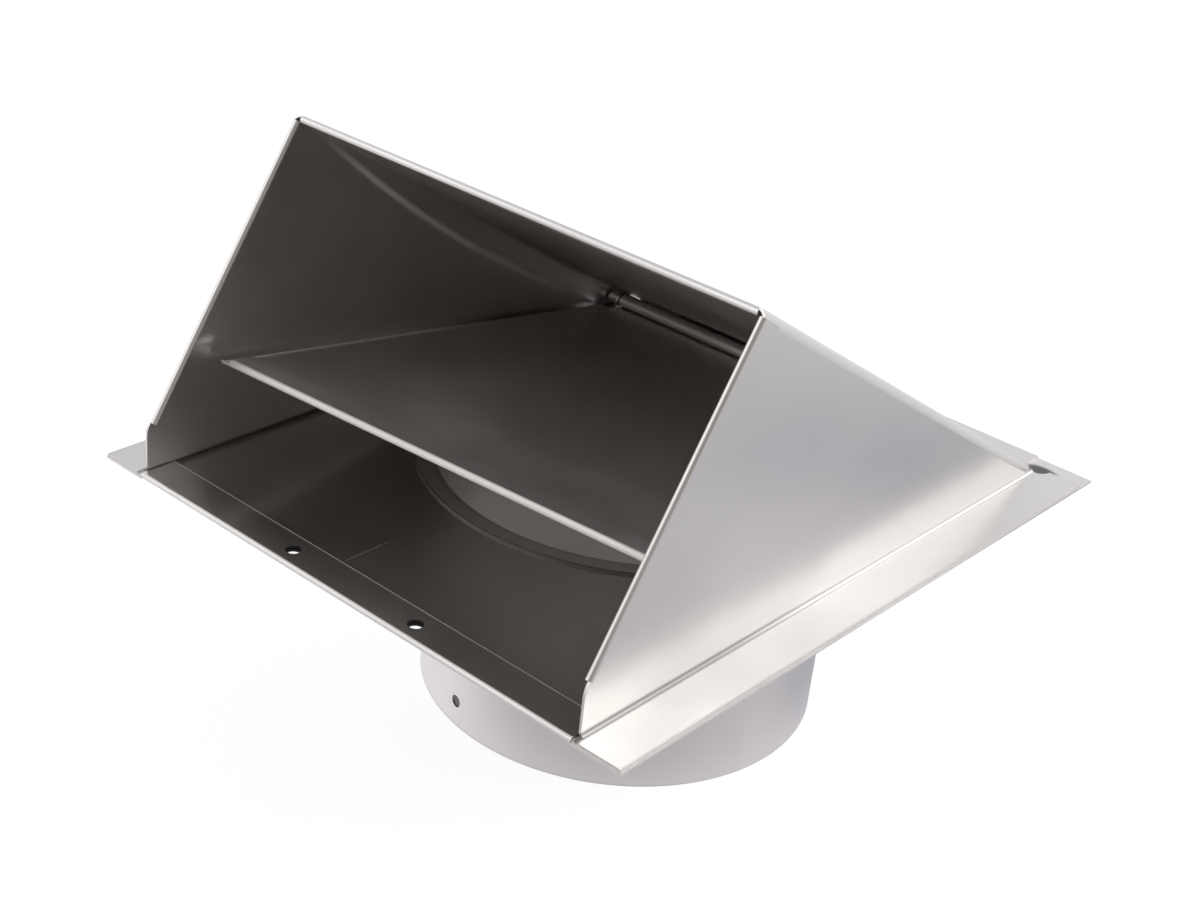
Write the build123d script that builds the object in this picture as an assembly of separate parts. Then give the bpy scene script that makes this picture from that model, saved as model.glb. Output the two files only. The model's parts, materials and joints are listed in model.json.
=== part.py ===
"""Dryer vent hood: a folded sheet-metal hood on a wall plate, with a duct collar and a hinged damper flap.

Millimetres. The origin is the centre of the collar's open end, on which the hood stands, and +Z runs up the duct
axis, out of the wall. -Y is the side of the open mouth and +Y that of the sloping roof's foot. The pieces are drawn
from the plate's wall face as height zero, and lifted by the collar's length when they are written.
"""
from build123d import *
from math import atan2, cos, degrees, radians, sin
import os

# Sheet stock and its bends
SHEET = 0.6
FLANGE_BEND = 1.0
ROOF_BEND = 1.8
FLAT_ANGLE = 22.5

# Wall plate
PLATE_WIDTH = 158.0
PLATE_DEPTH = 180.0
PLATE_FRONT = 98.0
PLATE_HEM = 9.4
PLATE_HEM_GAP = 0.3
PLATE_HEM_PLAY = 0.2
SCREW_HOLE = 3.4
SCREW_PITCH = 38.0

# Hood
HOOD_WIDTH = 134.0
HOOD_FRONT_SET = 2.0
HOOD_BACK_SET = 6.0
CHEEK_UPRIGHT = 11.0
CHEEK_KINK = 6.0
RIDGE_HEIGHT = 78.6
RIDGE_SET = 42.0
FLANGE_EDGE_SET = 0.2
MOUTH_HEM = 6.0
MOUTH_HEM_GAP = 0.6
HEM_FOOT_SET = 2.0
HEM_END_SET = 1.6
RELIEF_RADIUS = 3.3

# Duct collar
COLLAR_DIAMETER = 100.0
COLLAR_LENGTH = 60.0
COLLAR_LIP = 5.0
COLLAR_BEND = 1.5
COLLAR_LAP = 12.0
COLLAR_LAP_ANGLE = 90.0
COLLAR_PLAY = 0.1
DUCT_HOLE = 3.2
DUCT_HOLE_UP = 6.7
DUCT_HOLE_ANGLE = -100.6

# Damper flap and its hinge
ROD_DIAMETER = 3.0
ROD_BACK_SET = 12.0
ROD_OVER_PLATE = 3.2
ROD_PLAY = 0.03
KNUCKLE_PLAY = 0.06
KNUCKLE_MOUTH = 65.0
EAR_WIDTH = 5.0
EAR_PLAY = 0.4
EAR_SIDE_SET = 4.2
ROD_END_PLAY = 0.6
FLAP_FRONT_SET = 18.0
FLAP_HEM = 7.0
FLAP_HEM_GAP = 0.6
FLAP_HEM_END_SET = 2.7
FLAP_PLAY = 0.6
FLAP_NOTCH = 6.0
FLAP_LEFT_ANGLE = 8.8
FLAP_RIGHT_ANGLE = 11.2

# Places worked out from the sizes above
PLATE_BACK = PLATE_DEPTH - PLATE_FRONT
HOOD_HALF = HOOD_WIDTH / 2
HOOD_INSIDE = HOOD_HALF - SHEET
HOOD_FRONT = HOOD_FRONT_SET - PLATE_FRONT
HOOD_BACK = PLATE_BACK - HOOD_BACK_SET
FLANGE_TOP = 2 * SHEET
RIDGE_Y = HOOD_FRONT + RIDGE_SET
ROOF_ANGLE = atan2(RIDGE_HEIGHT - SHEET, HOOD_BACK - RIDGE_Y)
MOUTH_RISE = RIDGE_HEIGHT - SHEET - CHEEK_UPRIGHT
MOUTH_ANGLE = atan2(MOUTH_RISE, RIDGE_SET)
MOUTH_LENGTH = (MOUTH_RISE**2 + RIDGE_SET**2) ** 0.5
COLLAR_RADIUS = COLLAR_DIAMETER / 2
ROD_RADIUS = ROD_DIAMETER / 2
ROD_Y = HOOD_BACK - ROD_BACK_SET
ROD_Z = SHEET + ROD_OVER_PLATE
KNUCKLE_BORE = ROD_RADIUS + KNUCKLE_PLAY
KNUCKLE_RADIUS = KNUCKLE_BORE + SHEET
EAR_X = HOOD_INSIDE - EAR_SIDE_SET - SHEET
KNUCKLE_HALF = EAR_X - EAR_PLAY
FLAP_REACH = ROD_Y - HOOD_FRONT - FLAP_FRONT_SET
FLAP_HALF = HOOD_HALF - 2 * SHEET - MOUTH_HEM_GAP - FLAP_PLAY
FAR = 2 * (PLATE_DEPTH + RIDGE_HEIGHT)


def polygon(*points):
    """Face inside straight lines through the points, in the order given."""
    return make_face(Polyline(*points, close=True))


def bend(centre, radius, first, last, flat_angle=0):
    """Bend in a section, between two angles in degrees: an arc, or straight flats that turn by the flat angle."""
    if not flat_angle:
        return CenterArc(centre, radius, first, last - first)
    flats = round(abs(last - first) / flat_angle)
    turns = [radians(first + (last - first) * step / flats) for step in range(flats + 1)]
    return Polyline(*[(centre[0] + radius * cos(turn), centre[1] + radius * sin(turn)) for turn in turns])


def hem(leaf, gap, tail, flat_angle=0):
    """Section of a folded edge: x runs from the fold into the sheet, y from its outer skin to the leaf."""
    inner = gap / 2
    outer = inner + SHEET
    thick = 2 * outer
    nose = (outer, outer)
    line = Polyline((outer, SHEET), (tail, SHEET), (tail, 0), (outer, 0))
    line += bend(nose, outer, 270, 90, flat_angle)
    line += Polyline((outer, thick), (leaf, thick), (leaf, thick - SHEET), (outer, thick - SHEET))
    line += bend(nose, inner, 90, 270, flat_angle)
    return make_face(line)


def hem_room(gap):
    """Section of the square sheet edge that the fold's round nose takes away."""
    nose = SHEET + gap / 2
    return polygon((-SHEET, -SHEET), (nose, -SHEET), (nose, SHEET + gap / 4), (-SHEET, SHEET + gap / 4))


def pin(diameter, x, y, bottom, top):
    """Upright round pin, used as a cutter for holes in level sheet."""
    return Pos(x, y, (bottom + top) / 2) * Cylinder(diameter / 2, top - bottom)


def make_wall_plate():
    """Flat plate with the duct hole, a folded front edge and two ears lanced up for the hinge rod."""
    plate = Pos(0, (PLATE_BACK - PLATE_FRONT) / 2, SHEET / 2) * Box(PLATE_WIDTH, PLATE_DEPTH, SHEET)
    plate -= pin(COLLAR_DIAMETER + 2 * (COLLAR_BEND + COLLAR_PLAY), 0, 0, -SHEET, FLANGE_TOP)

    hem_half = HOOD_INSIDE - PLATE_HEM_PLAY
    fold = Plane(origin=(-hem_half, -PLATE_FRONT, 0), x_dir=(0, 1, 0), z_dir=(1, 0, 0))
    plate -= extrude(fold * hem_room(PLATE_HEM_GAP), amount=2 * hem_half)
    plate += extrude(fold * hem(PLATE_HEM, PLATE_HEM_GAP, PLATE_HEM), amount=2 * hem_half)
    for side in (-1, 1):
        place = (side * SCREW_PITCH / 2, PLATE_HEM / 2 - PLATE_FRONT)
        plate -= pin(SCREW_HOLE, *place, -SHEET, 4 * SHEET + PLATE_HEM_GAP)

    ear = make_hinge_ear()
    window_length = ROD_Z + EAR_WIDTH / 2
    window = Pos(EAR_X - window_length / 2, ROD_Y, SHEET / 2) * Box(window_length, EAR_WIDTH, 2 * SHEET)
    plate -= window
    plate -= mirror(window, about=Plane.YZ)
    plate += ear
    plate += mirror(ear, about=Plane.YZ)
    return plate


def make_hinge_ear():
    """Right-hand ear: a round-topped tab bent up from the plate, with the rod's hole."""
    face = Plane(origin=(EAR_X, ROD_Y, 0), x_dir=(0, 1, 0), z_dir=(1, 0, 0))
    tab = Pos(0, ROD_Z / 2) * Rectangle(EAR_WIDTH, ROD_Z)
    tab += Pos(0, ROD_Z) * Circle(EAR_WIDTH / 2)
    tab -= Pos(0, ROD_Z) * Circle(ROD_RADIUS + ROD_PLAY)
    return extrude(face * tab, amount=SHEET)


def make_hood_shell():
    """Roof, two cheeks and their flanges, folded from one sheet with the corners relieved by round holes."""
    outside = wedge(HOOD_HALF, 0, ROOF_BEND + SHEET)
    shell = outside - wedge(HOOD_INSIDE, SHEET, ROOF_BEND)
    shell = add_flanges(shell, outside)
    for side in (-1, 1):
        shell -= pin(2 * RELIEF_RADIUS, side * HOOD_HALF, HOOD_BACK, 0, 4 * RELIEF_RADIUS)
    return add_mouth_hems(shell)


def wedge(half, inset, radius):
    """Solid wedge under the roof. With an inset it lies that far below the roof and runs out of the mouth."""
    along = Vector(0, cos(ROOF_ANGLE), -sin(ROOF_ANGLE))
    outward = Vector(0, sin(ROOF_ANGLE), cos(ROOF_ANGLE))
    ridge = Vector(0, RIDGE_Y, RIDGE_HEIGHT) - outward * inset
    if inset:
        high = ridge - along * FAR
        low = ridge + along * FAR
        outline = [high, low, Vector(0, high.Y, low.Z)]
    else:
        corner = Vector(0, HOOD_FRONT, SHEET)
        outline = [ridge, Vector(0, HOOD_BACK, SHEET), corner, corner + Vector(0, 0, CHEEK_UPRIGHT)]
    side = Plane(origin=(-half, 0, 0), x_dir=(0, 1, 0), z_dir=(1, 0, 0))
    profile = polygon(*[(point.Y, point.Z) for point in outline])
    if not inset:
        profile = fillet(profile.vertices().group_by(Axis.Y)[-2], CHEEK_KINK)
    body = extrude(side * profile, amount=2 * half)
    roof = max(body.faces(), key=lambda face: face.normal_at().dot(outward))
    return fillet([edge for edge in roof.edges() if abs(edge.tangent_at(0).dot(along)) > 0.99], radius)


def add_flanges(shell, outside):
    """Turn the foot of the roof and of each cheek outwards into level flanges, with round bends."""
    depth = HOOD_BACK - HOOD_FRONT
    middle = 1.5 * SHEET
    leg = HOOD_HALF - SHEET / 2
    bend_top = FLANGE_TOP + FLANGE_BEND
    leg_top = bend_top + SHEET
    level = (PLATE_WIDTH / 2 - FLANGE_EDGE_SET, middle)
    path = FilletPolyline(level, (leg, middle), (leg, leg_top), radius=FLANGE_BEND + SHEET / 2)
    section = Plane(origin=(0, HOOD_BACK, 0), x_dir=(1, 0, 0), z_dir=(0, -1, 0))
    strip = extrude(section * trace(path, SHEET), amount=depth)
    over_roof = Pos(0, HOOD_BACK - depth / 2, leg_top) * Box(HOOD_WIDTH, 2 * depth, 2 * (leg_top - SHEET)) - outside
    strip -= over_roof
    foot = Pos(HOOD_HALF, HOOD_BACK - depth / 2, bend_top / 2) * Box(2 * SHEET, 2 * depth, bend_top)
    tab_depth = HOOD_FRONT_SET - FLANGE_EDGE_SET
    tab_width = PLATE_WIDTH / 2 - FLANGE_EDGE_SET - HOOD_INSIDE
    strip += Pos(HOOD_INSIDE + tab_width / 2, HOOD_FRONT - tab_depth / 2, middle) * Box(tab_width, tab_depth, SHEET)
    for piece in (foot, mirror(foot, about=Plane.YZ)):
        shell -= piece
    for piece in (strip, mirror(strip, about=Plane.YZ)):
        shell += piece

    root = SHEET / sin(ROOF_ANGLE)
    back_depth = HOOD_BACK_SET - FLANGE_EDGE_SET + root
    back_width = 2 * (HOOD_HALF - RELIEF_RADIUS)
    return shell + Pos(0, HOOD_BACK - root + back_depth / 2, middle) * Box(back_width, back_depth, SHEET)


def add_mouth_hems(shell):
    """Fold the mouth's slanted edges and the roof's front edge back inside as open hems."""
    cheek_run = MOUTH_LENGTH - HEM_FOOT_SET - HEM_END_SET
    up = (0, cos(MOUTH_ANGLE), sin(MOUTH_ANGLE))
    inward = (0, sin(MOUTH_ANGLE), -cos(MOUTH_ANGLE))
    start = Vector(HOOD_HALF, HOOD_FRONT, SHEET + CHEEK_UPRIGHT) + Vector(*up) * HEM_FOOT_SET
    cheek = Plane(origin=start, x_dir=inward, z_dir=up)
    cut = extrude(cheek * hem_room(MOUTH_HEM_GAP), amount=cheek_run)
    fold = extrude(cheek * hem(MOUTH_HEM, MOUTH_HEM_GAP, MOUTH_HEM), amount=cheek_run)
    for piece in (cut, mirror(cut, about=Plane.YZ)):
        shell -= piece
    for piece in (fold, mirror(fold, about=Plane.YZ)):
        shell += piece

    roof_half = HOOD_INSIDE - HEM_END_SET
    down_roof = (0, cos(ROOF_ANGLE), -sin(ROOF_ANGLE))
    roof = Plane(origin=(roof_half, RIDGE_Y, RIDGE_HEIGHT), x_dir=down_roof, z_dir=(-1, 0, 0))
    shell -= extrude(roof * hem_room(MOUTH_HEM_GAP), amount=2 * roof_half)
    shell += extrude(roof * hem(MOUTH_HEM, MOUTH_HEM_GAP, MOUTH_HEM), amount=2 * roof_half)
    return shell


def make_duct_collar():
    """Rolled tube with a lapped seam, its upper end flared into a lip that lies on the plate."""
    inside = COLLAR_RADIUS - SHEET
    lip_edge = COLLAR_RADIUS + COLLAR_LIP
    turn_r = COLLAR_RADIUS + COLLAR_BEND
    turn_z = SHEET - COLLAR_BEND
    flare = (turn_r, turn_z)
    section = Polyline(
        (inside, turn_z), (inside, -COLLAR_LENGTH), (COLLAR_RADIUS, -COLLAR_LENGTH), (COLLAR_RADIUS, turn_z)
    )
    section += bend(flare, COLLAR_BEND, 180, 90, FLAT_ANGLE)
    section += Polyline((turn_r, SHEET), (lip_edge, SHEET), (lip_edge, FLANGE_TOP), (turn_r, FLANGE_TOP))
    section += bend(flare, COLLAR_BEND + SHEET, 90, 180, FLAT_ANGLE)
    collar = revolve(Plane.XZ * make_face(section), axis=Axis.Z)

    lap_half = degrees(COLLAR_LAP / COLLAR_RADIUS) / 2
    lap_height = COLLAR_LENGTH + turn_z
    lap = Circle(inside + SHEET / 4) - Circle(inside - SHEET)
    reach = 2 * COLLAR_RADIUS
    edges = [(reach * cos(radians(turn)), reach * sin(radians(turn))) for turn in (-lap_half, lap_half)]
    lap &= polygon((0, 0), *edges)
    collar += Rot(0, 0, COLLAR_LAP_ANGLE) * Pos(0, 0, -COLLAR_LENGTH) * extrude(lap, amount=lap_height)

    drill = Pos(0, 0, DUCT_HOLE_UP - COLLAR_LENGTH) * Rot(0, 90, 0) * Cylinder(DUCT_HOLE / 2, 3 * COLLAR_RADIUS)
    return collar - Rot(0, 0, DUCT_HOLE_ANGLE) * drill


def flap_plane(x, angle):
    """Plane square to the hinge rod at x, with its own x towards the flap's free edge at that opening angle."""
    forward = (0, -cos(radians(angle)), sin(radians(angle)))
    return Plane(origin=(x, ROD_Y, ROD_Z), x_dir=forward, z_dir=(-1, 0, 0))


def make_damper_flap():
    """Thin flap, a little twisted along the rod, with a hemmed free edge and a knuckle rolled round the rod."""
    under = KNUCKLE_RADIUS - SHEET / 10
    folded = hem(FLAP_HEM, FLAP_HEM_GAP, FLAP_REACH + SHEET, FLAT_ANGLE)
    folded = Pos(FLAP_REACH, -under) * mirror(folded, about=Plane.YZ)
    left = flap_plane(-FLAP_HALF, FLAP_LEFT_ANGLE) * folded
    right = flap_plane(FLAP_HALF, FLAP_RIGHT_ANGLE) * folded
    flap = loft([left, right], ruled=True)

    hinge = flap_plane(KNUCKLE_HALF, (FLAP_LEFT_ANGLE + FLAP_RIGHT_ANGLE) / 2)
    far = 2 * KNUCKLE_RADIUS
    curl_end = (far * sin(radians(KNUCKLE_MOUTH)), -far * cos(radians(KNUCKLE_MOUTH)))
    curl = Circle(KNUCKLE_RADIUS) - polygon((0, 0), curl_end, (far, -far), (SHEET, -far))
    flap += extrude(hinge * curl, amount=2 * KNUCKLE_HALF)
    flap -= extrude(hinge * Circle(KNUCKLE_BORE), amount=2 * KNUCKLE_HALF)

    notch = FLAP_HALF - KNUCKLE_HALF + SHEET
    step = FLAP_HEM_END_SET + SHEET
    step_height = 2 * SHEET + FLAP_HEM_GAP
    step_y = SHEET + FLAP_HEM_GAP / 2 - under + step_height / 2
    step_section = Pos(FLAP_REACH - FLAP_HEM / 2, step_y) * Rectangle(FLAP_HEM + 2 * SHEET, step_height)
    for side, angle in ((-1, FLAP_LEFT_ANGLE), (1, FLAP_RIGHT_ANGLE)):
        flap -= Pos(side * (KNUCKLE_HALF + notch / 2), ROD_Y, ROD_Z) * Box(notch, 2 * FLAP_NOTCH, 2 * far)
        outer = side * (FLAP_HALF + SHEET)
        start = max(outer, outer - side * step)
        flap -= extrude(flap_plane(start, angle) * step_section, amount=step)
    return flap


def make_hinge_rod():
    """Straight rod held by the plate's ears and trapped between the cheeks."""
    length = 2 * (HOOD_INSIDE - ROD_END_PLAY)
    return Pos(0, ROD_Y, ROD_Z) * Rot(0, 90, 0) * Cylinder(ROD_RADIUS, length)


NODES = {
    "wall_plate": make_wall_plate,
    "hood_shell": make_hood_shell,
    "duct_collar": make_duct_collar,
    "damper_flap": make_damper_flap,
    "hinge_rod": make_hinge_rod,
}

os.makedirs("parts", exist_ok=True)
for name, make in NODES.items():
    export_step(Pos(0, 0, COLLAR_LENGTH) * (Part() + make()), f"parts/{name}.step")
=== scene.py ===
"""Looks of a dryer vent hood: bright cold-rolled stainless sheet, folded, hemmed and lightly handled.

Every length is in metres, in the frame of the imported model: the origin is the centre of the collar's
open end, on which the hood stands, +Z runs up the duct axis and -Y is the side of the open mouth.
"""

import json
import logging
import math
from dataclasses import dataclass
from enum import Enum
from typing import Mapping, Sequence, Union

import bpy
from mathutils import Matrix, Vector

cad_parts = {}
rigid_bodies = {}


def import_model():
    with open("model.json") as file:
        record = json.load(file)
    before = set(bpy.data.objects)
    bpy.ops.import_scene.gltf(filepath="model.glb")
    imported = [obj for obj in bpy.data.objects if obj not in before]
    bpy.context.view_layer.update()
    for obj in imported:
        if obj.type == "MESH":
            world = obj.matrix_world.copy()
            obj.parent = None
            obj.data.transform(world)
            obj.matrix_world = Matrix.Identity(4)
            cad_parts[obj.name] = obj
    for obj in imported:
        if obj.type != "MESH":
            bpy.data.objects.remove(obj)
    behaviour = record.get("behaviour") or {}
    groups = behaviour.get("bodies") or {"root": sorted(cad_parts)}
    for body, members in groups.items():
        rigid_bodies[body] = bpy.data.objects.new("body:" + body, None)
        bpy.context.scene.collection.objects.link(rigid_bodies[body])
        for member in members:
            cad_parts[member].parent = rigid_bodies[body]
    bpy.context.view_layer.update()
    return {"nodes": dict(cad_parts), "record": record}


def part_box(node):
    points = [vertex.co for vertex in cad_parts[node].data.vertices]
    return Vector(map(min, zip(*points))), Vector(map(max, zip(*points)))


LOG = logging.getLogger("vent_hood")
MM = 0.001
GLOSSY_BOUNCES = 10

Colour = tuple[float, float, float]
Point = tuple[float, float, float]
Pair = tuple[float, float]
Key = Union[str, int]
Operand = Union["Value", float]
Input = Union["Value", float, Sequence[float]]


class Value:
    """An output socket of a node tree, with operators that add Math nodes."""

    def __init__(self, graph: "Graph", socket: bpy.types.NodeSocket | None) -> None:
        """Wrap one socket.

        Args:
            graph: The tree that the socket belongs to.
            socket: The output socket, or nothing for a node that has none.
        """
        self.graph = graph
        self.socket = socket

    def math(self, operation: str, *others: Operand) -> "Value":
        """Add a Math node with this value as its first input.

        Args:
            operation: The Math node's operation.
            others: Its further inputs.

        Returns:
            The node's result.
        """
        return self.graph.math(operation, self, *others)

    def __add__(self, other: Operand) -> "Value":
        """Sum of two values."""
        return self.math("ADD", other)

    __radd__ = __add__

    def __sub__(self, other: Operand) -> "Value":
        """This value less another."""
        return self.math("SUBTRACT", other)

    def __rsub__(self, other: Operand) -> "Value":
        """A number less this value."""
        return self.graph.math("SUBTRACT", other, self)

    def __mul__(self, other: Operand) -> "Value":
        """Product of two values."""
        return self.math("MULTIPLY", other)

    __rmul__ = __mul__

    def __truediv__(self, other: Operand) -> "Value":
        """This value divided by another."""
        return self.math("DIVIDE", other)

    def __abs__(self) -> "Value":
        """The value without its sign."""
        return self.math("ABSOLUTE")

    def lesser(self, other: Operand) -> "Value":
        """The smaller of two values."""
        return self.math("MINIMUM", other)

    def greater(self, other: Operand) -> "Value":
        """The larger of two values."""
        return self.math("MAXIMUM", other)

    def rise(self, low: float, high: float) -> "Value":
        """Smooth step from 0 at low to 1 at high, or falling where high is the smaller.

        Args:
            low: The value that gives 0.
            high: The value that gives 1.

        Returns:
            The step, between 0 and 1.
        """
        first, last = (0.0, 1.0) if low < high else (1.0, 0.0)
        inputs = {
            "Value": self,
            "From Min": min(low, high),
            "From Max": max(low, high),
            "To Min": first,
            "To Max": last,
        }
        return self.graph.add("ShaderNodeMapRange", {"interpolation_type": "SMOOTHSTEP"}, inputs)

    def near(self, reach: float, core: float = 0.0) -> "Value":
        """1 in the middle of a mark, falling smoothly to 0 at its reach.

        Args:
            reach: The distance that gives 0.
            core: The share of that distance over which the mark is full.

        Returns:
            The mark, between 0 and 1.
        """
        return self.rise(reach, core * reach)

    def other(self, output: Key) -> "Value":
        """Another output of the same node."""
        return Value(self.graph, self.socket.node.outputs[output])


class Graph:
    """A node tree that is filled by plain calls."""

    def __init__(self, tree: bpy.types.NodeTree) -> None:
        """Empty a tree and take it over.

        Args:
            tree: The node tree of a material or of the world.
        """
        self.tree = tree
        tree.nodes.clear()

    @staticmethod
    def find(sockets: bpy.types.bpy_prop_collection, key: Key) -> bpy.types.NodeSocket:
        """A socket by its place, its identifier or its name.

        Args:
            sockets: A node's inputs or outputs.
            key: The place, identifier or name.

        Returns:
            The socket.
        """
        if isinstance(key, int):
            return sockets[key]
        for socket in sockets:
            if socket.identifier == key:
                return socket
        return sockets[key]

    def add(
        self,
        kind: str,
        settings: Mapping[str, object] | None = None,
        inputs: Mapping[Key, Input] | None = None,
        output: Key = 0,
    ) -> Value:
        """Add any node.

        Args:
            kind: The node's type.
            settings: Its settings, set first.
            inputs: Numbers, colours or values for its input sockets.
            output: The output socket to return.

        Returns:
            The chosen output as a value.
        """
        node = self.tree.nodes.new(kind)
        for key, setting in (settings or {}).items():
            setattr(node, key, setting)
        for key, given in (inputs or {}).items():
            socket = self.find(node.inputs, key)
            if isinstance(given, Value):
                self.tree.links.new(given.socket, socket)
            else:
                socket.default_value = given
        return Value(self, self.find(node.outputs, output) if node.outputs else None)

    def math(self, operation: str, *operands: Operand) -> Value:
        """Add a Math node.

        Args:
            operation: Its operation.
            operands: Its inputs in order.

        Returns:
            Its result.
        """
        return self.add("ShaderNodeMath", {"operation": operation}, dict(enumerate(operands)))

    def mix(self, factor: Operand, first: Input, second: Input) -> Value:
        """Mix two colours.

        Args:
            factor: The share of the second colour.
            first: The first colour.
            second: The second colour.

        Returns:
            The mixed colour.
        """
        inputs = {"Factor_Float": factor, "A_Color": opaque(first), "B_Color": opaque(second)}
        return self.add("ShaderNodeMix", {"data_type": "RGBA"}, inputs, "Result_Color")

    def parts(self, vector: Value) -> tuple[Value, Value, Value]:
        """Split a vector.

        Args:
            vector: The vector.

        Returns:
            Its x, y and z.
        """
        x = self.add("ShaderNodeSeparateXYZ", None, {0: vector}, "X")
        return x, x.other("Y"), x.other("Z")

    def dot(self, vector: Value, side: Sequence[float]) -> Value:
        """How far a vector reaches along a fixed direction.

        Args:
            vector: The vector.
            side: The direction.

        Returns:
            Their dot product.
        """
        inputs = {0: vector, 1: side}
        return self.add("ShaderNodeVectorMath", {"operation": "DOT_PRODUCT"}, inputs, "Value")

    def stretch(self, vector: Value, scale: Sequence[float]) -> Value:
        """Scale a vector.

        Args:
            vector: The vector.
            scale: Scale along each axis.

        Returns:
            The new vector.
        """
        return self.add("ShaderNodeVectorMath", {"operation": "MULTIPLY"}, {0: vector, 1: scale})

    def noise(self, vector: Value, scale: float, detail: float = 2.0, contrast: float = 0.5) -> Value:
        """Noise between 0 and 1.

        Args:
            vector: Where it is read.
            scale: Features per metre of that vector.
            detail: Octaves.
            contrast: Strength of the finer octaves.

        Returns:
            The noise value.
        """
        inputs = {"Vector": vector, "Scale": scale, "Detail": detail, "Roughness": contrast}
        return self.add("ShaderNodeTexNoise", None, inputs)


def distance(across: Value, along: Value) -> Value:
    """Length of the hypotenuse over two values."""
    return (across * across + along * along).math("SQRT")


def opaque(colour: Input) -> Input:
    """Add a full alpha to a plain colour, and leave a value as it is."""
    return colour if isinstance(colour, Value) else (*colour, 1.0)


def toned(colour: Colour, times: float) -> Colour:
    """A colour made darker, or lighter up to white."""
    red, green, blue = (min(1.0, times * part) for part in colour)
    return red, green, blue


def put_on(piece: bpy.types.Object, material: bpy.types.Material) -> None:
    """Give a piece one material in place of what it has.

    Args:
        piece: The piece.
        material: Its new material.
    """
    piece.data.materials.clear()
    piece.data.materials.append(material)
    LOG.info("%s takes %s", piece.name, material.name)


class Rolling(Enum):
    """The way the sheet ran through the mill, as a scale along x, y and z of its fine grain."""

    ALONG_X = (0.012, 1.0, 1.0)
    ALONG_Y = (1.0, 0.012, 1.0)
    ALONG_Z = (1.0, 1.0, 0.012)


@dataclass(frozen=True)
class Effect:
    """What a mark does to clean metal where it is full.

    Attributes:
        cover: The share of the clean colour that it hides.
        shade: Its own lightness, as a multiple of the clean colour.
        roughness: What it adds to the roughness.
        film: What it takes from the metallic share.
    """

    cover: float = 0.0
    shade: float = 1.0
    roughness: float = 0.0
    film: float = 0.0


@dataclass
class Marks:
    """Where a piece's sheet isn't clean or carries painted highlight or shade, each between 0 and 1.

    Attributes:
        wear_and_sheen: Sheared and handled edges, and painted highlights on the plate, the cheeks and the
            flap.
        dull_and_sheen: Parts that handling has dulled, and the painted highlights on the left cheek and the
            flap's sides.
        dark: Painted shade in holes, folds and corners and along the collar's lip.
    """

    wear_and_sheen: Operand = 0.0
    dull_and_sheen: Operand = 0.0
    dark: Operand = 0.0


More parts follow.
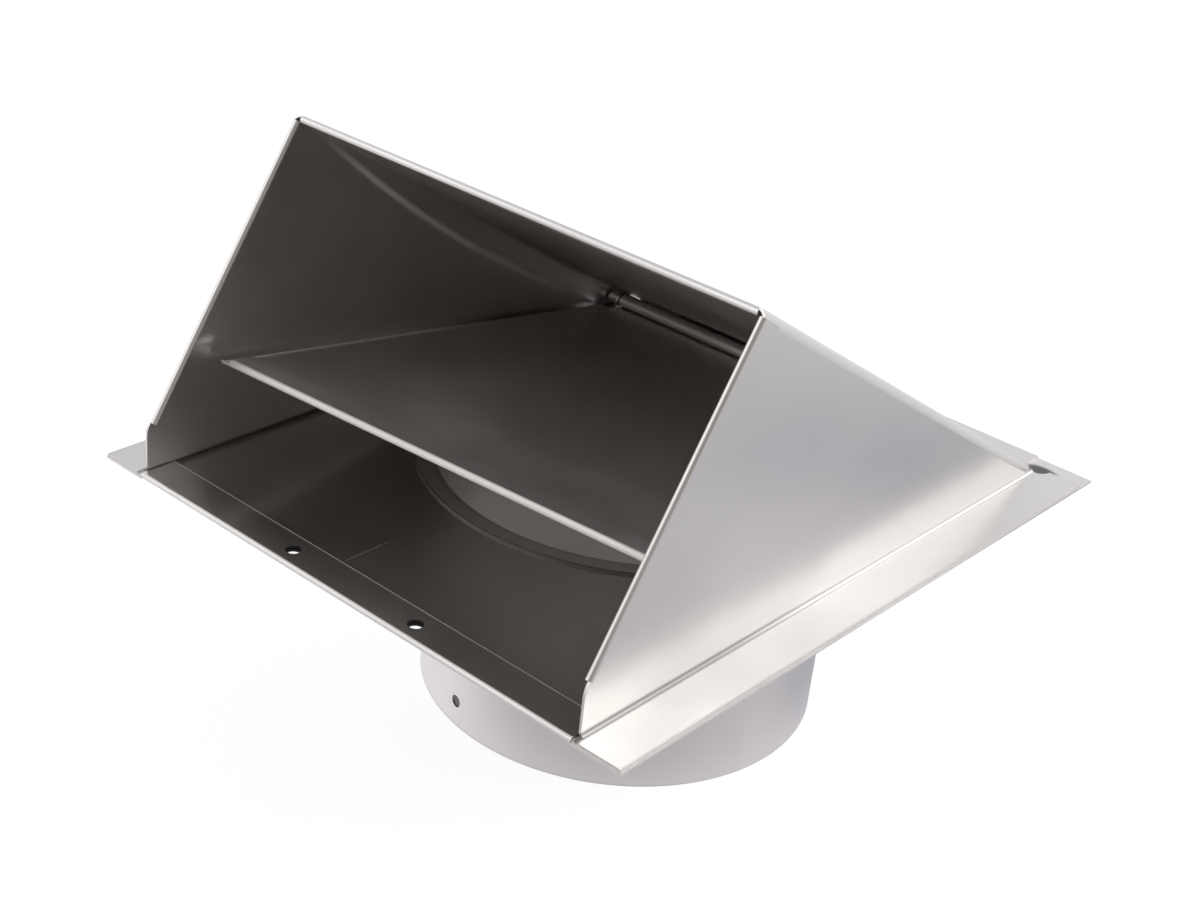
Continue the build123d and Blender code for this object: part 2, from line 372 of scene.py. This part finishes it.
@dataclass(frozen=True)
class SheetFinish:
    """Bright cold-rolled stainless sheet.

    Attributes:
        name: The material's name.
        colour: Reflected colour of the clean metal.
        roughness: Roughness of the clean metal.
        rolling: The way its fine grain runs.
        wave_height: Height of the sheet's slow waves.
        wave_length: Length of those waves.
        smudge: How much handling marks add to the roughness.
        haze: Share of the light that a film of dust and oil scatters evenly.
    """

    name: str
    colour: Colour = (0.69, 0.675, 0.66)
    roughness: float = 0.33
    rolling: Rolling = Rolling.ALONG_Y
    wave_height: float = 0.12 * MM
    wave_length: float = 90.0 * MM
    smudge: float = 0.1
    haze: float = 0.05

    # Features per metre, their octaves, and the noise values where a feature begins and is full.
    GRAIN_SCALE = 1600.0
    GRAIN_DETAIL = 3.0
    GRAIN_CONTRAST = 0.6
    GRAIN_SPAN = (0.3, 0.75)
    STREAK_SCALE = 170.0
    SMEAR_SCALE = 24.0
    SMEAR_SPAN = (0.4, 0.8)
    WAVE_DETAIL = 1.0
    NOISE_MEAN = 0.5

    # What each kind of mark does to the clean metal, wear and painted light and shade among them.
    GRAIN = Effect(cover=0.07, shade=0.82, roughness=0.02)
    STREAK = Effect(roughness=0.05)
    SMEAR = Effect(cover=0.3, shade=0.9, film=0.04)
    # Wear, which also serves for painted highlights: lighter, rougher and less metallic.
    WEAR_AND_SHEEN = Effect(cover=0.5, shade=1.15, roughness=0.15, film=0.45)
    DULLING = Effect(film=0.2)
    # Painted shade: near black and rougher, in holes, folds, corners and along the collar's lip.
    PAINTED_SHADE = Effect(roughness=0.3)
    PAINTED_SHADE_COLOUR = (0.03, 0.028, 0.026)

    def material(self, piece: "Piece") -> bpy.types.Material:
        """Make the finish's material.

        Args:
            piece: The piece that takes it, which may have marks of its own.

        Returns:
            The material.
        """
        material = bpy.data.materials.new(self.name)
        material.use_nodes = True
        graph = Graph(material.node_tree)
        place = graph.add("ShaderNodeTexCoord", None, None, "Object")

        rolled = graph.stretch(place, self.rolling.value)
        grain = graph.noise(rolled, self.GRAIN_SCALE, self.GRAIN_DETAIL, self.GRAIN_CONTRAST)
        streaks = graph.noise(rolled, self.STREAK_SCALE)
        waves = graph.noise(place, 1 / self.wave_length, self.WAVE_DETAIL)
        smears = graph.noise(place, self.SMEAR_SCALE).rise(*self.SMEAR_SPAN)
        heights = {"Strength": 1.0, "Distance": 1.0, "Height": waves * self.wave_height}
        bump = graph.add("ShaderNodeBump", None, heights)

        tone = graph.mix(smears * self.SMEAR.cover, self.colour, toned(self.colour, self.SMEAR.shade))
        lines = grain.rise(*self.GRAIN_SPAN) * self.GRAIN.cover
        tone = graph.mix(lines, tone, toned(self.colour, self.GRAIN.shade))
        roughness = self.roughness + smears * self.smudge
        roughness = roughness + (grain - self.NOISE_MEAN) * self.GRAIN.roughness
        roughness = roughness + (streaks - self.NOISE_MEAN) * self.STREAK.roughness
        metallic = 1.0 - self.haze - smears * self.SMEAR.film

        marks = piece.marks(graph, place)
        if marks:
            # Lighter, duller metal for wear and for painted highlights.
            tone = graph.mix(marks.wear_and_sheen * self.WEAR_AND_SHEEN.cover, tone, toned(self.colour, self.WEAR_AND_SHEEN.shade))
            # Near-black painted shade.
            tone = graph.mix(marks.dark, tone, self.PAINTED_SHADE_COLOUR)
            roughness = roughness + marks.wear_and_sheen * self.WEAR_AND_SHEEN.roughness + marks.dark * self.PAINTED_SHADE.roughness
            metallic = metallic - marks.wear_and_sheen * self.WEAR_AND_SHEEN.film - marks.dull_and_sheen * self.DULLING.film
        sheet = {"Base Color": tone, "Metallic": metallic, "Roughness": roughness, "Normal": bump}
        shader = graph.add("ShaderNodeBsdfPrincipled", None, sheet)
        graph.add("ShaderNodeOutputMaterial", None, {"Surface": shader})
        return material


@dataclass(kw_only=True)
class Piece:
    """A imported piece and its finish.

    Attributes:
        node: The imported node.
        finish: Its finish.
    """

    node: str
    finish: SheetFinish

    def marks(self, graph: Graph, place: Value) -> Marks | None:
        """Where the sheet isn't clean.

        Args:
            graph: The material's tree.
            place: Object coordinates.

        Returns:
            The marks, or nothing for a piece without any of its own.
        """
        return None

    def dress(self, nodes: Mapping[str, bpy.types.Object]) -> None:
        """Give the piece its finish.

        Args:
            nodes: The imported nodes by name.
        """
        put_on(nodes[self.node], self.finish.material(self))


@dataclass(kw_only=True)
class WallPlate(Piece):
    """Flat plate under the hood, with a folded front edge.

    Attributes:
        screws: The record's mount for the two front screws.
        wear_and_sheen: Width of the rim of wear along the sheared edges.
        leaf: Width of the folded leaf along the front.
        leaf_highlight: Width of the painted highlight along the leaf's raw edge.
        hole_shade: Width of the painted shade round a punched hole.
        corner: Where the plate shows in the hood's right-hand back corner hole, as x and y.
        corner_reach: How far the painted shade there reaches along the plate.
        corner_core: The share of that reach over which it is full.
        corner_spread: How many times further it reaches across.
        corner_shade: How dark that painted shade is.
        scratch: Where the one scratch that shows begins, as x and y.
        scratch_width: Half the width of the scratch.
        scratch_point: The length over which it begins.
        scratch_run: How far back it runs.
        scratch_full: The share of that run over which it is full.
        scratch_wear: How bright it is.
    """

    screws: Mapping[str, object]
    node: str = "wall_plate"
    finish: SheetFinish = SheetFinish(
        "plate_sheet", rolling=Rolling.ALONG_X, roughness=0.17, smudge=0.05, haze=0.0
    )
    wear_and_sheen: float = 0.9 * MM
    leaf: float = 9.4 * MM
    leaf_highlight: float = 0.45 * MM
    hole_shade: float = 0.25 * MM
    corner: Pair = (68.0 * MM, 76.2 * MM)
    corner_reach: float = 3.0 * MM
    corner_core: float = 0.5
    corner_spread: float = 1.8
    corner_shade: float = 0.85
    scratch: Pair = (-9.6 * MM, -87.0 * MM)
    scratch_width: float = 0.5 * MM
    scratch_point: float = 1.0 * MM
    scratch_run: float = 17.0 * MM
    scratch_full: float = 0.6
    scratch_wear: float = 0.3

    def scratched(self, x: Value, y: Value) -> Value:
        """The scratch.

        Args:
            x: Place across the plate.
            y: Place along the plate.

        Returns:
            1 along its middle.
        """
        across, start = self.scratch
        begins = y.rise(start, start + self.scratch_point)
        ends = y.rise(start + self.scratch_run, start + self.scratch_full * self.scratch_run)
        return abs(x - across).near(self.scratch_width) * (begins * ends)

    def painted_hollow_shade(self, x: Value, y: Value) -> Value:
        """Painted shade in the screw holes and in the back corners.

        Args:
            x: Place across the plate.
            y: Place along the plate.

        Returns:
            1 where it is full.
        """
        dims = self.screws["dims"]
        radius = dims["hole_r_mm"] * MM
        from_hole = distance(abs(x) - dims["spacing_x_mm"] * MM / 2, y - self.screws["pos_m"][1])
        from_corner = distance((abs(x) - self.corner[0]) / self.corner_spread, y - self.corner[1])
        # Painted shade: near black in each screw hole, and a soft dark patch in each back corner.
        in_corner = from_corner.near(self.corner_reach, self.corner_core) * self.corner_shade
        return from_hole.rise(radius + self.hole_shade, radius).greater(in_corner)

    def marks(self, graph: Graph, place: Value) -> Marks:
        """Rim of wear, a painted highlight on the leaf's raw edge, the scratch, and painted shade in holes
        and corners.

        Args:
            graph: The material's tree.
            place: Object coordinates.

        Returns:
            The marks.
        """
        low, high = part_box(self.node)
        x, y, _ = graph.parts(place)
        rim = (high.x - abs(x)).lesser((y - low.y).lesser(high.y - y)).near(self.wear_and_sheen)
        # A painted highlight: a light line along the leaf's raw edge.
        raw = abs(y - (low.y + self.leaf)).near(self.leaf_highlight)
        wear_and_sheen = rim.greater(raw).greater(self.scratched(x, y) * self.scratch_wear)
        return Marks(wear_and_sheen=wear_and_sheen, dark=self.painted_hollow_shade(x, y))


@dataclass(kw_only=True)
class HoodShell(Piece):
    """Roof, cheeks and flanges, folded from one sheet.

    Attributes:
        wear_and_sheen: Width of the rim of wear along the flanges.
        flange: Width of a side flange.
        flange_edge: The width over which its dulling ends.
        inside: Half the width between the cheeks.
        inside_edge: How far past that the marks inside have gone, and how far they are full.
        front_corner: Lower front corner of a cheek, as y and z.
        corner_reach: How far handling has dulled the inside of that corner.
        highlight_arc: Middle of the round painted highlight line inside the left cheek, as y and z.
        highlight_arc_radius: Radius of that line.
        highlight_arc_width: Half the width of that line.
        highlight_arc_ends: First and last y of that line.
        highlight_arc_full: The share of those at which the line is full.
        highlight_arc_side: The share of the inner half width past which it shows.
        fold: Line of the fold at a cheek's foot, as x and z.
        fold_reach: How far the painted shade reaches from that line.
        fold_core: The share of that reach over which it is full.
        fold_ends: Where along the fold, in y, the painted shade has gone and where it is full.
        fold_shade: How dark that painted shade is.
        glint: Where a painted highlight sits inside each cheek by the flap's corner, as y and z.
        glint_reach: How far that spot reaches along y and z.
        glint_core: The share of that reach over which it is full.
    """

    node: str = "hood_shell"
    finish: SheetFinish = SheetFinish("hood_sheet", rolling=Rolling.ALONG_Y, haze=0.03)
    wear_and_sheen: float = 0.8 * MM
    flange: float = 11.0 * MM
    flange_edge: float = 1.0 * MM
    inside: float = 66.4 * MM
    inside_edge: Pair = (0.3 * MM, 0.1 * MM)
    front_corner: Pair = (-96.0 * MM, 62.0 * MM)
    corner_reach: float = 20.0 * MM
    highlight_arc: Pair = (227.4 * MM, 438.8 * MM)
    highlight_arc_radius: float = 411.2 * MM
    highlight_arc_width: float = 1.4 * MM
    highlight_arc_ends: Pair = (-52.0 * MM, 60.0 * MM)
    highlight_arc_full: float = 0.5
    highlight_arc_side: float = 0.9
    fold: Pair = (67.3 * MM, 61.5 * MM)
    fold_reach: float = 1.0 * MM
    fold_core: float = 0.4
    fold_ends: Pair = (5.0 * MM, -60.0 * MM)
    fold_shade: float = 0.5
    glint: Pair = (-80.3 * MM, 90.3 * MM)
    glint_reach: Pair = (3.2 * MM, 1.4 * MM)
    glint_core: float = 0.2

    def painted_arc(self, x: Value, y: Value, z: Value) -> Value:
        """The round painted highlight line inside the left cheek.

        Args:
            x: Place across the hood.
            y: Place along the hood.
            z: Height.

        Returns:
            1 along its middle.
        """
        off_line = abs(distance(y - self.highlight_arc[0], z - self.highlight_arc[1]) - self.highlight_arc_radius)
        first, last = self.highlight_arc_ends
        run = y.rise(first, self.highlight_arc_full * first) * y.rise(last, self.highlight_arc_full * last)
        left = x.rise(-self.highlight_arc_side * self.inside, -self.inside)
        return off_line.near(self.highlight_arc_width) * (run * left)

    def highlighted(self, y: Value, z: Value) -> Value:
        """The painted highlight spot inside a cheek by the flap's corner.

        Args:
            y: Place along the hood.
            z: Height.

        Returns:
            1 in its middle.
        """
        along, up = self.glint_reach
        return distance((y - self.glint[0]) / along, (z - self.glint[1]) / up).near(1.0, self.glint_core)

    def marks(self, graph: Graph, place: Value) -> Marks:
        """Rim of wear along the flanges, a painted highlight line and spot, dulled parts and painted shade
        in the folds.

        Args:
            graph: The material's tree.
            place: Object coordinates.

        Returns:
            The marks.
        """
        _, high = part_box(self.node)
        x, y, z = graph.parts(place)
        side = high.x - abs(x)
        rim = side.lesser(high.y - y).near(self.wear_and_sheen)
        gone, full = self.inside_edge
        inner = abs(x).rise(self.inside + gone, self.inside + full)
        # A painted highlight: a round light line inside the left cheek.
        line = self.painted_arc(x, y, z) * inner
        corner = distance(y - self.front_corner[0], z - self.front_corner[1]).near(self.corner_reach)
        on_flange = side.rise(self.flange, self.flange - self.flange_edge)
        # Painted shade along the fold at each cheek's foot, full towards the mouth.
        in_fold = distance(abs(x) - self.fold[0], z - self.fold[1]).near(self.fold_reach, self.fold_core)
        return Marks(
            # Wear on the rim, and painted highlights: the round line and the spot by the flap's corner.
            wear_and_sheen=rim.greater(line).greater(self.highlighted(y, z) * inner),
            dull_and_sheen=on_flange.greater(corner * inner).greater(line),
            dark=in_fold * y.rise(*self.fold_ends) * self.fold_shade,
        )


@dataclass(kw_only=True)
class DuctCollar(Piece):
    """Rolled tube that enters the duct.

    Attributes:
        wear_and_sheen: Height of the rim of wear at the open end.
        lip_shade: Width of the painted shade along the lip's outer edge.
        lip_shade_core: The share of that width over which it is full.
        lip_shade_strength: How dark it is.
    """

    node: str = "duct_collar"
    finish: SheetFinish = SheetFinish("collar_sheet", rolling=Rolling.ALONG_Z, roughness=0.34)
    wear_and_sheen: float = 0.8 * MM
    lip_shade: float = 0.4 * MM
    lip_shade_core: float = 0.5
    lip_shade_strength: float = 0.75

    def marks(self, graph: Graph, place: Value) -> Marks:
        """Rim of wear at the open end, and painted shade along the edge of the lip.

        Args:
            graph: The material's tree.
            place: Object coordinates.

        Returns:
            The marks.
        """
        _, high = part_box(self.node)
        x, y, z = graph.parts(place)
        # Painted shade: a dark line along the lip's outer edge.
        lip = (high.x - distance(x, y)).near(self.lip_shade, self.lip_shade_core)
        return Marks(wear_and_sheen=z.near(self.wear_and_sheen), dark=lip * self.lip_shade_strength)


@dataclass(kw_only=True)
class DamperFlap(Piece):
    """Thin flap that swings on the rod.

    Attributes:
        wear_and_sheen: Width of the painted highlight along its sides.
        highlight_core: The share of that width over which it is full.
        highlighted: Where along y the painted highlight on the sides is still full, and where it has gone.
        nose: Depth of the painted highlight along its front.
        nose_core: The share of that depth over which it is full.
    """

    node: str = "damper_flap"
    finish: SheetFinish = SheetFinish("flap_sheet", rolling=Rolling.ALONG_X, haze=0.12)
    wear_and_sheen: float = 2.0 * MM
    highlight_core: float = 0.2
    highlighted: Pair = (-12.0 * MM, 20.0 * MM)
    nose: float = 1.6 * MM
    nose_core: float = 0.5

    def marks(self, graph: Graph, place: Value) -> Marks:
        """Painted highlights along the flap's two sides and on its nose.

        Args:
            graph: The material's tree.
            place: Object coordinates.

        Returns:
            The marks.
        """
        low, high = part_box(self.node)
        x, y, _ = graph.parts(place)
        full, gone = self.highlighted
        # Painted highlights: lighter, duller metal along the sides, fading towards the hinge, and on the
        # nose.
        rim = (high.x - abs(x)).near(self.wear_and_sheen, self.highlight_core) * y.rise(gone, full)
        nose = (y - low.y).near(self.nose, self.nose_core)
        return Marks(wear_and_sheen=rim.greater(nose), dull_and_sheen=rim)


@dataclass(kw_only=True)
class HingeRod(Piece):
    """Drawn wire that the flap turns on, with no marks of its own."""

    node: str = "hinge_rod"
    finish: SheetFinish = SheetFinish(
        "rod_wire", colour=(0.56, 0.55, 0.54), roughness=0.36, rolling=Rolling.ALONG_X
    )


@dataclass(frozen=True)
class CameraView:
    """The photograph's viewpoint.

    Attributes:
        azimuth: Degrees to the right of the mouth.
        elevation: Degrees above the level.
        roll: Degrees that the camera is turned about its own axis.
        distance: From the target to the lens.
        target: The point at the middle of the picture.
        focal_pixels: Focal length in pixels of a picture as wide as image_width.
        image_width: The picture's width in pixels.
        sensor: Width of the sensor in millimetres.
        nearest: The closest that anything shows.
    """

    azimuth: float = 38.675
    elevation: float = 27.552
    roll: float = -6.239
    distance: float = 0.4296
    target: Point = (0.014756, -0.034362, 0.0806)
    focal_pixels: float = 1936.5
    image_width: float = 1200.0
    sensor: float = 36.0
    nearest: float = 0.01

    def place(self) -> None:
        """Make the scene's camera."""
        around, up = math.radians(self.azimuth), math.radians(self.elevation)
        back = Vector((math.sin(around) * math.cos(up), -math.cos(around) * math.cos(up), math.sin(up)))
        level = (-back).cross(Vector((0.0, 0.0, 1.0))).normalized()
        down = (-back).cross(level)
        turn = math.radians(self.roll)
        right = level * math.cos(turn) + down * math.sin(turn)
        above = level * math.sin(turn) - down * math.cos(turn)
        data = bpy.data.cameras.new("camera")
        data.sensor_fit = "HORIZONTAL"
        data.sensor_width = self.sensor
        data.lens = self.focal_pixels / self.image_width * self.sensor
        data.clip_start = self.nearest
        camera = bpy.data.objects.new("camera", data)
        bpy.context.scene.collection.objects.link(camera)
        matrix = Matrix((right, above, back)).transposed().to_4x4()
        matrix.translation = Vector(self.target) + back * self.distance
        camera.matrix_world = matrix
        bpy.context.scene.camera = camera


@dataclass(frozen=True)
class Softbox:
    """A square studio lamp.

    Attributes:
        name: Its name.
        place: Its centre.
        size: Its side.
        watts: Its power.
    """

    name: str
    place: Point
    size: float
    watts: float

    def hang(self, aim: Vector) -> None:
        """Make the lamp.

        Args:
            aim: The point that it faces.
        """
        data = bpy.data.lights.new(self.name, "AREA")
        data.shape = "SQUARE"
        data.size = self.size
        data.energy = self.watts
        lamp = bpy.data.objects.new(self.name, data)
        bpy.context.scene.collection.objects.link(lamp)
        lamp.location = self.place
        lamp.rotation_euler = (aim - Vector(self.place)).to_track_quat("-Z", "Y").to_euler()


@dataclass(frozen=True)
class Patch:
    """A soft-edged patch of light on the table or the backdrop, as reflections see it.

    Attributes:
        tone: Its light.
        edge: Where it begins, and where it is full.
        end: Where it has gone again, and where it is still full, for a patch that ends.
    """

    tone: Colour
    edge: Pair
    end: Pair | None = None

    def lay(self, graph: Graph, under: Input, place: Value) -> Value:
        """Lay the patch over what is there.

        Args:
            graph: The tree of the floor or of the world.
            under: The tone that it covers.
            place: What its edges are measured along.

        Returns:
            The new tone.
        """
        mask = place.rise(*self.edge)
        if self.end:
            mask = mask * place.rise(*self.end)
        return graph.mix(mask, under, self.tone)


@dataclass
class Studio:
    """White table and backdrop with a soft lamp.

    Attributes:
        collar_radius: Radius of the collar that stands on the table.
        collar_edge: How far past that the shade under the collar begins, and the width of its edge.
        floor_half: Half the width of the table.
        aim: The point that the lamps face.
        lamps: The lamps.
    """

    collar_radius: float
    collar_edge: Pair = (0.2 * MM, 0.4 * MM)
    floor_half: float = 5.0
    aim: Point = (0.0, 0.0, 0.09)
    lamps: tuple[Softbox, ...] = (Softbox("top_softbox", (-0.1, 0.1, 1.3), 1.6, 1.5),)

    # Directions from the hood to the studio's dark front, to its bright back and to its pale left.
    FRONT_SIDE = (0.61, -0.76, 0.22)
    BACK_SIDE = (0.56, 0.5, 0.66)
    LEFT_SIDE = (-0.62, -0.66, 0.42)

    # The table: close to the hood, in rings by distance, towards the front, to the left and under the back.
    NEAR_TONE = (1.17, 1.13, 1.19)
    FAR_RING = Patch((0.36, 0.36, 0.44), (0.15, 0.205))
    OUTER_RING = Patch((0.86, 0.85, 0.87), (0.23, 0.305))
    FRONT_TABLE = Patch((0.64, 0.63, 0.665), (0.02, 0.07))
    LEFT_TABLE = Patch((1.41, 1.41, 1.46), (-0.1, -0.2), (-0.32, -0.24))
    SHADE_TONE = (0.54, 0.535, 0.6)
    SHADE_EDGE = (-0.03, 0.05)
    SHADE_REACH = (0.15, 0.1)
    # Painted shade on the table inside the collar's foot, which the camera sees as well.
    DUCT_SHADE = (0.2, 0.19, 0.185)

    # The paper itself, and how much of what is seen of it glows evenly.
    # The camera sees less of that glow, and so more of the shadow.
    PAPER_GREY = (0.8, 0.8, 0.8)
    PAPER_WHITE = (1.25, 1.25, 1.25)
    GLOW = 0.9
    CAMERA_LOSS = 0.22

    # The backdrop: level, straight up, and to the three sides.
    SKY_TONE = (0.95, 0.95, 0.97)
    ZENITH = Patch((0.3, 0.3, 0.32), (0.55, 0.98))
    DARK_FRONT = Patch((0.34, 0.31, 0.295), (0.38, 0.66))
    BACK_LIGHT = Patch((4.6, 4.53, 4.52), (0.9, 0.985))
    LEFT_WALL = Patch((1.5, 1.49, 1.48), (0.75, 0.95))
    WHITE = (1.0, 1.0, 1.0)

    def build(self) -> None:
        """Make the floor, the world and the lamps."""
        self.lay_floor()
        self.light_world()
        for lamp in self.lamps:
            lamp.hang(Vector(self.aim))

    def lay_floor(self) -> None:
        """Make the table top."""
        half = self.floor_half
        mesh = bpy.data.meshes.new("table_top")
        outline = [(-half, -half, 0.0), (half, -half, 0.0), (half, half, 0.0), (-half, half, 0.0)]
        mesh.from_pydata(outline, [], [(0, 1, 2, 3)])
        floor = bpy.data.objects.new("table_top", mesh)
        bpy.context.scene.collection.objects.link(floor)
        put_on(floor, self.paper())

    def paper(self) -> bpy.types.Material:
        """Make the table's material.

        Returns:
            The material.
        """
        material = bpy.data.materials.new("table_paper")
        material.use_nodes = True
        graph = Graph(material.node_tree)
        camera = graph.add("ShaderNodeLightPath", None, None, "Is Camera Ray")
        seen = camera.greater(camera.other("Is Glossy Ray")).greater(camera.other("Is Transmission Ray"))
        place = graph.add("ShaderNodeTexCoord", None, None, "Object")
        away = graph.add("ShaderNodeVectorMath", {"operation": "LENGTH"}, {0: place}, "Value")
        x, y, _ = graph.parts(place)

        tone = self.FAR_RING.lay(graph, self.NEAR_TONE, away)
        tone = self.OUTER_RING.lay(graph, tone, away)
        tone = self.FRONT_TABLE.lay(graph, tone, graph.dot(place, self.FRONT_SIDE))
        tone = self.LEFT_TABLE.lay(graph, tone, x)
        behind = y.rise(*self.SHADE_EDGE) * away.rise(*self.SHADE_REACH)
        tone = graph.mix(behind, tone, self.SHADE_TONE)
        tone = graph.mix(camera, tone, self.PAPER_WHITE)
        past, width = self.collar_edge
        rim = self.collar_radius + past
        tone = graph.mix(away.rise(rim, rim - width), tone, self.DUCT_SHADE)

        glow = graph.add("ShaderNodeEmission", None, {"Color": tone, "Strength": 1.0})
        sheet = graph.add("ShaderNodeBsdfDiffuse", None, {"Color": opaque(self.PAPER_GREY)})
        share = seen * self.GLOW - camera * self.CAMERA_LOSS
        shader = graph.add("ShaderNodeMixShader", None, {0: share, 1: sheet, 2: glow})
        graph.add("ShaderNodeOutputMaterial", None, {"Surface": shader})
        return material

    def light_world(self) -> None:
        """Make the backdrop's light."""
        world = bpy.data.worlds.new("backdrop")
        world.use_nodes = True
        bpy.context.scene.world = world
        graph = Graph(world.node_tree)
        camera = graph.add("ShaderNodeLightPath", None, None, "Is Camera Ray")
        way = graph.add("ShaderNodeTexCoord", None, None, "Generated")
        _, _, height = graph.parts(way)
        tone = self.ZENITH.lay(graph, self.SKY_TONE, height)
        tone = self.DARK_FRONT.lay(graph, tone, graph.dot(way, self.FRONT_SIDE))
        tone = self.BACK_LIGHT.lay(graph, tone, graph.dot(way, self.BACK_SIDE))
        tone = self.LEFT_WALL.lay(graph, tone, graph.dot(way, self.LEFT_SIDE))
        tone = graph.mix(camera, tone, self.WHITE)
        light = graph.add("ShaderNodeBackground", None, {"Color": tone, "Strength": 1.0})
        graph.add("ShaderNodeOutputWorld", None, {"Surface": light})


def clear_scene() -> None:
    """Remove what a new file holds."""
    for thing in list(bpy.data.objects):
        bpy.data.objects.remove(thing)


def main() -> None:
    """Load the frame, dress each piece and set the studio."""
    logging.basicConfig(level=logging.INFO, format="%(name)s: %(message)s")
    clear_scene()
    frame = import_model()
    CameraView().place()
    mounts = {mount["name"]: mount for mount in frame["record"]["mounts"]}
    plate = WallPlate(screws=mounts["front_screws"])
    for piece in (plate, HoodShell(), DuctCollar(), DamperFlap(), HingeRod()):
        piece.dress(frame["nodes"])
    Studio(collar_radius=mounts["duct_spigot"]["dims"]["r_mm"] * MM).build()
    bpy.context.scene.view_settings.view_transform = "Standard"
    bpy.context.scene.cycles.glossy_bounces = GLOSSY_BOUNCES


if __name__ == "__main__":
    main()
